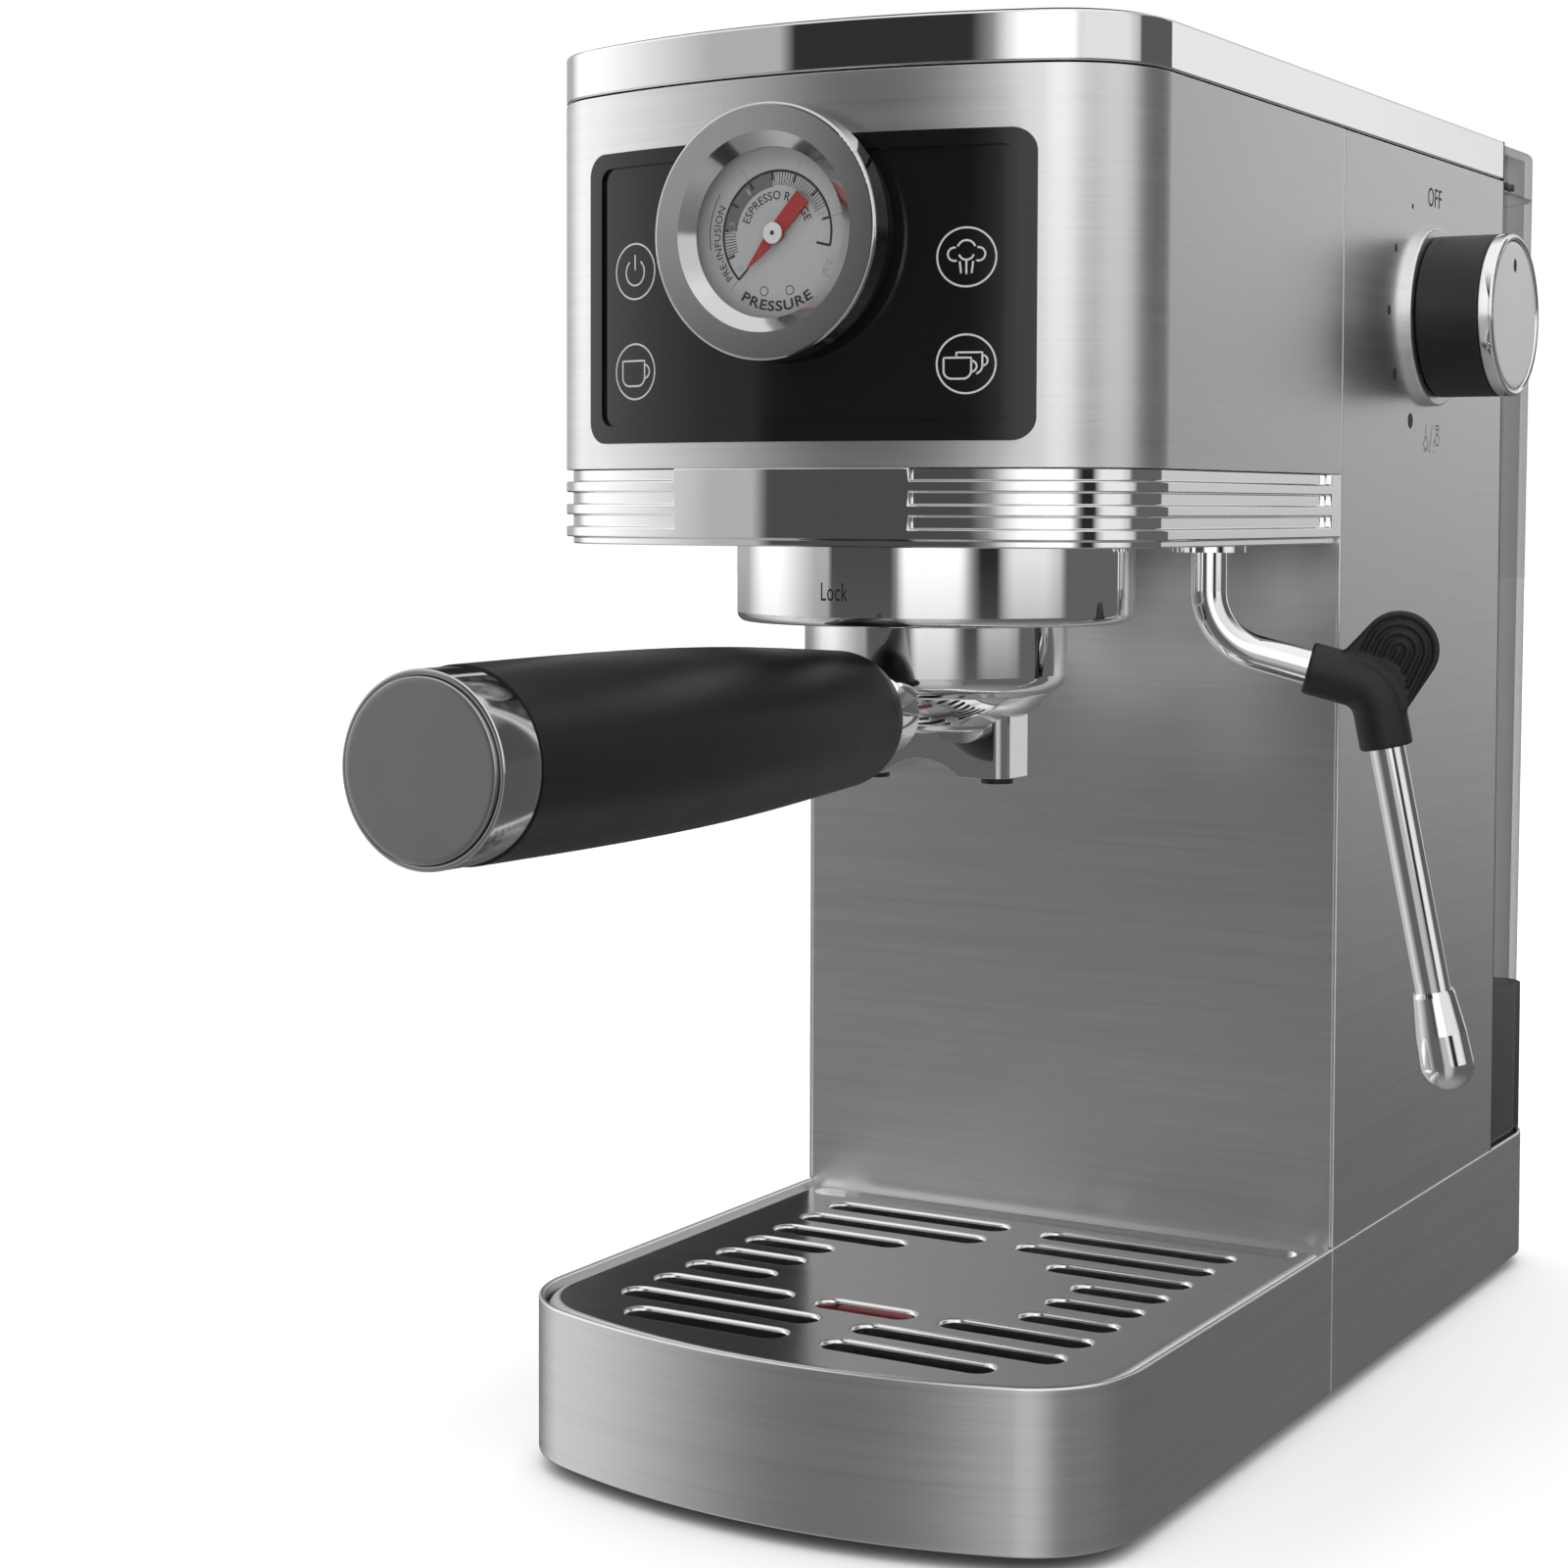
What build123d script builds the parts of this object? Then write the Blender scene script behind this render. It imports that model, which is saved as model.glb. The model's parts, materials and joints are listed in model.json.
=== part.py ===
"""Espresso machine: slim pump machine with a steam wand, a gauge and a lift-off tank.

Frame: +X to the machine's left-to-right as seen from the front, +Y to the back,
+Z up. The origin is the centre of the body's footprint on the worktop. Millimetres.
"""
import os
from math import cos, radians, sin, sqrt

from build123d import *

# ---- driving dimensions ----
WIDTH = 150.0
BODY_FRONT = -165.0
BODY_BACK = 165.0
HEAD_FRONT = -153.5
COLUMN_FRONT = -12.0
COLUMN_BACK = 117.2
FRONT_RADIUS = 169.0        # plan radius of the bowed front
CORNER_RADIUS = 27.0        # plan radius of the two front corners
BACK_RADIUS = 22.0          # plan radius of the two rear corners

FOOT_HEIGHT = 3.0
BASE_TOP = 39.5
TRIM_BOTTOM = 213.75
SHELL_BOTTOM = 230.75
RIM_BOTTOM = 315.0
RIM_TOP = 325.6
FRAME_TOP = 326.3

SHEET = 1.2                 # steel sheet thickness
SEAM = 0.4                  # visible gap between two covers

GROUP_Y = -82.0             # axis of the brewing group
COLLAR_R = 47.0
COLLAR_BOTTOM = 195.5
HOLDER_R = 31.0             # filter holder bowl
HOLDER_TOP = 207.0
UNLOCK_ANGLE = -45.0
LUG_ANGLES = (30, 150, 270)  # the holder's three lugs, in degrees round the group
LUG_WIDTH = 34.0
HANDLE_Z = 175.0
HANDLE_END = -280.0

GAUGE_Z = 280.7
GAUGE_FRONT = -162.0
GAUGE_R = 27.4
KNOB_Y = 54.0
KNOB_Z = 272.7
KNOB_R = 21.0
KEY_X = 41.5
KEY_Z = (274.7, 252.4)

WAND_X = 57.0
WAND_Y = -52.0
WAND_YAW = 20.0             # the wand's plane, turned from +X towards +Y
WAND_R = 4.25

SLOT_PITCH = 13.9
SLOT_WIDTH = 7.6
FIRST_SLOT_Y = -142.9
FLOAT_Y = FIRST_SLOT_Y + 2 * SLOT_PITCH

TANK_FRONT = 119.2
TANK_TOP = 311.8
TANK_BOTTOM = 35.0
TANK_WALL = 2.2
LID_AXIS = (123.2, 321.4)   # y and z of the lid's pins
VALVE_Y = 141.0
PUMP_Y = 62.0
HOSE_Z = 26.6

os.makedirs("parts", exist_ok=True)


# ---- helpers ----
def plan_face(front, back, inset=0.0, back_radius=0.0):
    """Plan outline with a bowed front; inset shrinks the front and both sides."""
    half = WIDTH / 2 - inset
    nose = front + inset
    radius = FRONT_RADIUS - inset
    shoulder = nose + radius - sqrt(radius**2 - half**2)
    bow = ThreePointArc((-half, shoulder), (0, nose), (half, shoulder))
    sides = Polyline((half, shoulder), (half, back), (-half, back), (-half, shoulder))
    face = make_face(bow + sides)
    face = fillet(face.vertices().group_by(Axis.Y)[0], CORNER_RADIUS - inset)
    if back_radius:
        face = fillet(face.vertices().group_by(Axis.Y)[-1], back_radius)
    return face


def back_face(front, back, inset=0.0):
    """Plan outline with a straight front edge and two rounded rear corners."""
    half = WIDTH / 2 - inset
    face = Pos(0, (front + back - inset) / 2) * Rectangle(2 * half, back - inset - front)
    return fillet(face.vertices().group_by(Axis.Y)[-1], BACK_RADIUS - inset)


def slab(face, low, high):
    return extrude(Pos(0, 0, low) * face, amount=high - low)


def block(x0, x1, y0, y1, z0, z1):
    return Pos((x0 + x1) / 2, (y0 + y1) / 2, (z0 + z1) / 2) * Box(x1 - x0, y1 - y0, z1 - z0)


def rod(x, y, z0, z1, radius):
    return Pos(x, y, (z0 + z1) / 2) * Cylinder(radius, z1 - z0)


def rod_x(x0, x1, y, z, radius):
    return Pos((x0 + x1) / 2, y, z) * Rot(0, 90, 0) * Cylinder(radius, x1 - x0)


def rod_y(x, y0, y1, z, radius):
    return Pos(x, (y0 + y1) / 2, z) * Rot(90, 0, 0) * Cylinder(radius, y1 - y0)


def tube(x, y, z0, z1, outer, inner):
    return rod(x, y, z0, z1, outer) - rod(x, y, z0 - 1, z1 + 1, inner)


def pipe(points, outer, bend):
    """A round pipe of straight runs joined by tangent arcs."""
    route = FilletPolyline(*points, radius=bend) if len(points) > 2 else Line(*points)
    return sweep(Plane(origin=route @ 0, z_dir=route % 0) * Circle(outer), path=route)


def save(shape, name):
    export_step(shape, f"parts/{name}.step")


# ---- base ----
def make_base():
    rear_y = BODY_BACK - SHEET
    plate = slab(plan_face(BODY_FRONT, rear_y, 4.0, BACK_RADIUS - SHEET), FOOT_HEIGHT, 6.5)
    feet_at = [(-52, -118), (52, -118), (-55, 138), (55, 138)]
    feet = Compound([rod(x, y, 0, FOOT_HEIGHT + 1, 9) for x, y in feet_at])
    for x, y in feet_at:
        plate -= rod(x, y, FOOT_HEIGHT, FOOT_HEIGHT + 1, 9)
    screws = []
    for x, y in [(-62, 0), (62, 0), (-62, 108), (62, 108)]:
        plate -= rod(x, y, FOOT_HEIGHT, FOOT_HEIGHT + 1.8, 3.6)
        plate -= rod(x, y, FOOT_HEIGHT, 7, 1.7)
        plate += tube(x, y, 6.5, 22, 4.5, 1.6)
        head = rod(x, y, FOOT_HEIGHT + 0.3, FOOT_HEIGHT + 1.8, 3.4)
        screws.append(head + rod(x, y, FOOT_HEIGHT + 1, 20, 1.55))
    save(plate, "base_plate")
    save(feet, "rubber_feet")
    save(Compound(screws), "base_screws")

    outer = back_face(COLUMN_FRONT, BODY_BACK)
    inner = back_face(COLUMN_FRONT - 1, BODY_BACK, SHEET)
    wrap = slab(outer, FOOT_HEIGHT + 0.6, BASE_TOP) - slab(inner, 0, BASE_TOP + 1)
    inlet_x, inlet_z = -42, 16
    wrap -= rod_y(inlet_x, 150, 170, inlet_z, 5)
    save(wrap, "rear_base_wrap")
    gland = rod_y(inlet_x, BODY_BACK - 4, BODY_BACK - SHEET, inlet_z, 6.5)
    gland += rod_y(inlet_x, BODY_BACK - SHEET, BODY_BACK, inlet_z, 4.9)
    save(gland - rod_y(inlet_x, 150, 170, inlet_z, 1.9), "cord_inlet")

    seat = slab(back_face(COLUMN_BACK + 1.2, BODY_BACK, 1.6), 30.5, TANK_BOTTOM - 0.2)
    seat += rod(0, VALVE_Y, 22, TANK_BOTTOM - 0.2, 11.5)
    seat -= rod(0, VALVE_Y, 25, TANK_BOTTOM, 9.2)
    seat += rod(0, VALVE_Y, 25, 28.2, 1.2)
    for x in (-45, 45):
        seat += rod(x, VALVE_Y, 6.5, 31, 4)
    barb = rod_y(0, 121, VALVE_Y - 9, HOSE_Z, 2.6)
    save(seat + barb, "tank_dock")


# ---- drip tray ----
def slot_rows():
    """Rows of slots as (y, [(x from, x to), ...]), front row first."""
    outer_end, inner_end = 56.6, 5.0
    first = [(-46.6, -inner_end), (inner_end, 46.6)]
    full = [(-outer_end, -inner_end), (inner_end, outer_end)]
    middle = [(-outer_end, -20.0), (20.0, outer_end)]
    short = [(-outer_end, -33.0), (33.0, outer_end)]
    pattern = [first, full, middle, short, short, short, middle, full, full]
    return [(FIRST_SLOT_Y + SLOT_PITCH * i, spans) for i, spans in enumerate(pattern)]


def slot(x0, x1, y, width):
    length = x1 - x0
    return Pos((x0 + x1) / 2, y, 0) * SlotOverall(length, width)


def make_tray():
    back = COLUMN_FRONT - SEAM
    band = slab(plan_face(BODY_FRONT, back), FOOT_HEIGHT + 0.6, BASE_TOP)
    band -= slab(plan_face(BODY_FRONT, back + 1, SHEET), 0, BASE_TOP + 1)
    save(band, "drip_tray_band")

    ledge = 33.2
    tub = slab(plan_face(BODY_FRONT, back - 0.6, SHEET), 6.7, ledge)
    tub -= slab(plan_face(BODY_FRONT, back - 2.8, SHEET + 2), 8.8, ledge + 1)
    for x in (-11.5, 11.5):
        tub += block(x - 0.8, x + 0.8, FLOAT_Y - 5, FLOAT_Y + 5, 8.5, 28)
    save(tub, "drip_tray_tub")

    top = 38.6
    outer = slab(plan_face(BODY_FRONT, back - 1.2, 2.0), ledge, top)
    outer = fillet(outer.faces().sort_by(Axis.Z)[-1].edges(), 3.0)
    grate = outer - slab(plan_face(BODY_FRONT, back - 2.4, 3.2), ledge - 1, top - 1.2)
    spots = [(x0, x1, y) for y, spans in slot_rows() for x0, x1 in spans]
    spots.append((-12.6, 12.6, FLOAT_Y))
    cuts = [slot(x0, x1, y, SLOT_WIDTH) for x0, x1, y in spots]
    flanges = [slot(x0 - SHEET, x1 + SHEET, y, SLOT_WIDTH + 2 * SHEET) for x0, x1, y in spots]
    for flange in flanges:
        grate += slab(flange, top - 3.4, top - 1.1)
    for cut in cuts:
        grate -= slab(cut, ledge, top + 1)
    channel_y = COLUMN_FRONT - 7.6
    grate += slab(slot(-69.4, 69.4, channel_y, 9.6), top - 3.4, top - 0.4)
    grate -= slab(slot(-68.2, 68.2, channel_y, SLOT_WIDTH), top - 2.2, top + 1)
    rims = [edge for wire in grate.faces().sort_by(Axis.Z)[-1].inner_wires() for edge in wire.edges()]
    save(fillet(rims, 1.0), "drip_grate")

    flag = block(-9.6, 9.6, FLOAT_Y - 2.9, FLOAT_Y + 2.9, 12, 36.6)
    flag -= block(-12, -9.0, FLOAT_Y - 3, FLOAT_Y + 3, 0, 29)
    flag -= block(9.0, 12, FLOAT_Y - 3, FLOAT_Y + 3, 0, 29)
    buoy = block(-9.0, 9.0, FLOAT_Y - 8, FLOAT_Y + 8, 9.1, 17)
    save(fillet(flag.edges().filter_by(Axis.X).group_by(Axis.Z)[-1], 1.0) + buoy, "tray_float")


# ---- column ----
def make_column():
    half = WIDTH / 2
    for side, name in ((1, "column_side_right"), (-1, "column_side_left")):
        x0, x1 = sorted((side * half, side * (half - SHEET)))
        panel = block(x0, x1, COLUMN_FRONT, COLUMN_BACK, BASE_TOP, RIM_BOTTOM - SEAM)
        if side > 0:
            panel -= rod_x(60, 80, KNOB_Y, KNOB_Z, 6)
        save(panel, name)
    edge = half - SHEET
    front = block(-edge, edge, COLUMN_FRONT, COLUMN_FRONT + SHEET, 10, 313)
    front -= block(-60, 60, -20, 0, 228, 312)
    save(front, "column_front_panel")

    wall = block(-edge, edge, COLUMN_BACK - 3, COLUMN_BACK, BASE_TOP, RIM_BOTTOM - 0.2)
    wall += block(-half, half, COLUMN_BACK, COLUMN_BACK + 0.6, BASE_TOP, RIM_TOP)
    for low in (74, 146):
        shelf = block(-24, 24, PUMP_Y - 20, COLUMN_BACK - 3, low, low + 10)
        wall += shelf - rod(0, PUMP_Y, low - 1, low + 11, 17)
        save(wall, "column_back_wall")


# ---- head ----
def head_band(low, high, outset=0.0, thickness=SHEET, back=COLUMN_FRONT - SEAM):
    """A wall that follows the head's plan, open at the back."""
    outer = slab(plan_face(HEAD_FRONT, back, outset), low, high)
    return outer - slab(plan_face(HEAD_FRONT, back + 1, outset + thickness), low - 1, high + 1)


def front_prism(half_x, low, high, corner):
    """A rounded rectangle in front view, pushed back through the bowed front."""
    face = Plane.XZ * Pos(0, (low + high) / 2) * RectangleRounded(2 * half_x, high - low, corner)
    return extrude(Pos(0, -110, 0) * face, amount=60)


def make_head():
    opening = front_prism(54, 238.4, 299.4, 4)
    shell = head_band(SHELL_BOTTOM, RIM_BOTTOM - SEAM)
    gauge_bore = rod_y(0, -175, -100, GAUGE_Z, 26.1)
    save(shell - opening - gauge_bore, "head_front_cover")

    frame = head_band(200, 320, -0.5, 3.5) & front_prism(56, 236.4, 301.4, 5)
    frame -= head_band(200, 320, 0, 3) - opening
    frame -= front_prism(52, 240.3, 298.0, 3)
    save(frame - gauge_bore, "control_panel_frame")
    glass = head_band(200, 320, 0.3, 2.2) & front_prism(52, 240.3, 298.0, 3)
    save(glass - gauge_bore, "control_panel_glass")

    sensors = [rod_y(x, -144.4, -141.6, z, 4.2) for x in (-KEY_X, KEY_X) for z in KEY_Z]
    board = block(-50, 50, -141.6, -140.0, 242, 298) - rod_y(0, -160, -120, GAUGE_Z, 27.5)
    board += block(-40, -30, -140, -134, 244, 250)
    board += block(24, 40, -140, -136, 244, 252)
    save(Compound([board] + sensors), "control_board")

    trim = head_band(TRIM_BOTTOM, SHELL_BOTTOM, 0, 4)
    groove, ridge, lip = 2.75, 2.4, 1.6
    for i in range(3):
        low = SHELL_BOTTOM - groove - i * (groove + ridge)
        high = low + groove + (0.5 if i == 0 else 0)
        cut = head_band(low, high, -1, 2.6) - front_prism(29.5, low - 1, high + 1, 0.8)
        trim -= cut - block(-80, 80, -19, 0, low - 1, high + 1)
    trim -= head_band(TRIM_BOTTOM - 1, TRIM_BOTTOM + lip, -1, 2.6)
    save(trim, "ribbed_trim")

    cover = slab(plan_face(HEAD_FRONT, COLUMN_FRONT - SEAM, 4), TRIM_BOTTOM + 0.4, 216.6)
    cover -= rod(0, GROUP_Y, 200, 220, COLLAR_R + 0.2)
    cover -= rod(WAND_X, WAND_Y, 200, 220, 9)
    save(cover, "head_bottom_cover")

    rim = head_band(RIM_BOTTOM, RIM_TOP, 0, 2.5, COLUMN_BACK)
    save(rim, "top_rim")
    frame_top = head_band(RIM_BOTTOM, FRAME_TOP, 2.5, 3.0, COLUMN_BACK - 3)
    frame_top += block(-70, 70, COLUMN_BACK - 8, COLUMN_BACK - 3, RIM_BOTTOM, FRAME_TOP)
    save(frame_top, "top_frame")
    warmer = slab(plan_face(HEAD_FRONT, COLUMN_BACK - 8, 5.5), 317, 318.2)
    holes = [Pos(x, y) * Circle(2.2) for x in range(-50, 51, 20) for y in range(-110, 91, 20)]
    for hole in holes:
        warmer -= slab(hole, 316, 319)
    save(warmer, "cup_warmer_plate")


# ---- pressure gauge ----
def make_gauge():
    y = GAUGE_FRONT
    bezel = rod_y(0, y, y + 5.5, GAUGE_Z, GAUGE_R)
    bezel = fillet(bezel.faces().sort_by(Axis.Y)[0].edges(), 0.8)
    funnel = Pos(0, y + 1.35, GAUGE_Z) * Rot(90, 0, 0) * Cone(18.2, 21.3, 2.7)
    bezel -= funnel + rod_y(0, y - 1, y + 6, GAUGE_Z, 18.2)
    bezel -= rod_y(0, y + 2.7, y + 6, GAUGE_Z, 20.6)
    save(bezel, "gauge_bezel")
    save(rod_y(0, y + 2.7, y + 3.7, GAUGE_Z, 20.5), "gauge_glass")

    housing = rod_y(0, y + 5.5, y + 27, GAUGE_Z, 26.0)
    housing -= rod_y(0, y + 5, y + 25, GAUGE_Z, 23.0)
    save(housing, "gauge_housing")
    dial = rod_y(0, y + 6.2, y + 7, GAUGE_Z, 22.9) - rod_y(0, y, y + 9, GAUGE_Z, 0.8)
    save(dial, "gauge_dial")

    def from_hub(distance, degrees):
        return distance * cos(radians(degrees)), distance * sin(radians(degrees))

    tip = from_hub(10.4, 227)
    side_a, side_b = from_hub(1.6, 137), from_hub(1.6, 317)
    tail_a, tail_b = from_hub(10.4, 37), from_hub(10.4, 58)
    outline = make_face(Polyline(tip, side_b, tail_a, tail_b, side_a, tip))
    plane = Plane(origin=(0, y + 5.4, GAUGE_Z), x_dir=(1, 0, 0), z_dir=(0, -1, 0))
    needle = extrude(plane * outline, amount=0.5)
    needle += rod_y(0, y + 4.4, y + 5.8, GAUGE_Z, 2.05)
    needle += rod_y(0, y + 5.4, y + 12, GAUGE_Z, 0.5)
    save(needle, "gauge_needle")

    arc = CenterArc((0, 0, 0), 14, 200, 300)
    spring_plane = Plane(origin=(0, y + 16, GAUGE_Z), x_dir=(1, 0, 0), z_dir=(0, -1, 0))
    path = spring_plane * arc
    coil = sweep(Plane(origin=path @ 0, z_dir=path % 0) * Circle(1.8), path=path)
    movement = block(-6, 6, y + 12.2, y + 14, GAUGE_Z - 6, GAUGE_Z + 6)
    socket = block(-5, 5, y + 13, y + 24.8, GAUGE_Z - 21, GAUGE_Z - 15.9)
    save(Compound([coil, movement, socket]), "gauge_movement")


# ---- steam knob and valve ----
def make_knob():
    half = WIDTH / 2
    skirt = rod_x(half, half + 2.5, KNOB_Y, KNOB_Z, 23.3)
    skirt = fillet(skirt.faces().sort_by(Axis.X)[-1].edges(), 0.6)
    save(skirt - rod_x(70, 80, KNOB_Y, KNOB_Z, 4), "knob_skirt")
    body = rod_x(half + 2.8, 94, KNOB_Y, KNOB_Z, KNOB_R) - rod_x(77, 90, KNOB_Y, KNOB_Z, 3.2)
    save(body, "knob_body")
    cap = rod_x(94, 98, KNOB_Y, KNOB_Z, KNOB_R)
    cap = fillet(cap.faces().sort_by(Axis.X)[-1].edges(), 1.4)
    save(cap, "knob_cap")
    save(rod_x(50, 90, KNOB_Y, KNOB_Z, 3.15), "valve_spindle")
    valve = rod_x(40, 66, KNOB_Y, KNOB_Z, 8) + rod_x(66, half - SHEET, KNOB_Y, KNOB_Z, 5.5)
    valve -= rod_x(50, 80, KNOB_Y, KNOB_Z, 3.2)
    feed = [(25, -62, 262), (25, -62, KNOB_Z), (25, KNOB_Y, KNOB_Z), (40, KNOB_Y, KNOB_Z)]
    outlet = [(46, KNOB_Y, KNOB_Z - 8), (46, KNOB_Y, 234), (WAND_X, WAND_Y, 234), (WAND_X, WAND_Y, 226)]
    save(Compound([valve, pipe(feed, 2.5, 7), pipe(outlet, 2.5, 6)]), "steam_valve")


# ---- steam wand ----
def make_wand():
    yaw = radians(WAND_YAW)
    along, across = (cos(yaw), sin(yaw), 0), (sin(yaw), -cos(yaw), 0)
    plane = Plane(origin=(WAND_X, WAND_Y, 0), x_dir=along, z_dir=across)
    top, first, elbow, tip = (0, 214.0), (0, 191.4), (38.8, 180.9), (56.9, 89.5)

    socket = tube(WAND_X, WAND_Y, 213.2, 226, 8.8, 7.3)
    socket += tube(WAND_X, WAND_Y, 212.0, 213.2, 8.8, 5.4)
    socket += tube(WAND_X, WAND_Y, 221.6, 226, 8.8, 2.0)
    save(socket, "wand_socket")

    route = plane * FilletPolyline(top, first, elbow, tip, radius=[15, 16])
    start = Plane(origin=route @ 0, z_dir=route % 0)
    wand = sweep(start * Circle(WAND_R), path=route)
    ball = rod(WAND_X, WAND_Y, 213.5, 221.2, 7.0)
    ball = fillet(ball.edges().filter_by(GeomType.CIRCLE), 2.5)
    save(wand + ball, "wand_tube")

    sleeve_route = plane * FilletPolyline((23.1, 185.1), elbow, (41.6, 166.6), radius=9)
    section = Plane(origin=sleeve_route @ 0, z_dir=sleeve_route % 0) * Circle(6.2)
    grip = sweep(section, path=sleeve_route)
    lobe_x, lobe_z, lobe_r = 44.4, 189.6, 9.0
    web_start = (30.6, 188)
    web_rest = [(38.2, 196.2), (46, 196), (52.4, 185.4), (45.4, 174.6), (34, 178)]
    web = make_face(Polyline(web_start, *web_rest, web_start))
    grip += extrude(plane * web, amount=3.2, both=True)
    grip += extrude(plane * Pos(lobe_x, lobe_z) * Circle(lobe_r), amount=3.2, both=True)
    save(grip - wand, "wand_grip")

    nozzle_axis = Plane(origin=route @ 1, z_dir=route % 1)
    rear, end, tip_r = -20.5, 3.2, 6.4
    tip_z = end - tip_r
    flare = [(WAND_R, rear), (WAND_R + 0.5, rear), (WAND_R + 0.8, rear + 1), (6.1, -10.5), (tip_r, tip_z)]
    sides = Polyline((0, 0.05), (WAND_R, 0.05), *flare)
    slant = tip_r * sin(radians(45))
    dome = ThreePointArc((tip_r, tip_z), (slant, tip_z + slant), (0, end))
    nozzle_face = make_face(sides + dome + Line((0, end), (0, 0.05)))
    nozzle = revolve(Plane.XZ * nozzle_face, Axis.Z)
    save(nozzle_axis * nozzle, "wand_nozzle")


# ---- brewing group ----
def sector(radius, centre_deg, width_deg, z0, z1):
    """A pie piece about the group axis; 0 degrees points to +X."""
    half = radians(width_deg / 2)
    x, y = radius * cos(half), radius * sin(half)
    arc = ThreePointArc((x, -y), (radius, 0), (x, y))
    pie = make_face(Line((0, 0), arc @ 0) + arc + Line(arc @ 1, (0, 0)))
    return extrude(Pos(0, GROUP_Y, z0) * Rot(0, 0, centre_deg) * pie, amount=z1 - z0)


def make_group():
    collar = tube(0, GROUP_Y, COLLAR_BOTTOM, 218, COLLAR_R, 44.3)
    collar += tube(0, GROUP_Y, COLLAR_BOTTOM, 198, COLLAR_R, 37.6)
    collar = fillet(collar.faces().sort_by(Axis.Z)[0].edges().sort_by(SortBy.LENGTH)[-1:], 2.2)
    save(collar, "group_collar")

    ring = tube(0, GROUP_Y, 198.2, 211, 44.1, 32.0)
    ring -= rod(0, GROUP_Y, 201, 206.6, 37.2)
    for angle in LUG_ANGLES:
        ring -= sector(37.2, angle + UNLOCK_ANGLE, LUG_WIDTH + 3, 198, 201.5)
    save(ring, "bayonet_ring")

    head = rod(0, GROUP_Y, 211, 226, 44.1) + rod(0, GROUP_Y, 207.4, 211, 21)
    head -= rod(0, GROUP_Y, 207, 216, 1.9)
    save(head, "group_head")
    save(tube(0, GROUP_Y, 207.3, 211, 31.6, 25.2), "group_gasket")
    screen = tube(0, GROUP_Y, 206.2, 207.4, 24.4, 2.0)
    for count, radius in ((6, 7), (12, 13), (18, 19)):
        for i in range(count):
            turn = 360 / count * i
            x, y = radius * cos(radians(turn)), radius * sin(radians(turn))
            screen -= rod(x, GROUP_Y + y, 206, 208, 0.8)
    screw = rod(0, GROUP_Y, 204.6, 206.2, 4.2) + rod(0, GROUP_Y, 206.2, 215, 1.85)
    save(Compound([screen, screw]), "shower_screen")
    block_core = rod(0, GROUP_Y, 226, 262, 38)
    for x in (-30, 30):
        block_core += block(x - 3, x + 3, GROUP_Y - 30, GROUP_Y + 30, 240, 258)
    save(block_core, "thermoblock")


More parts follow.
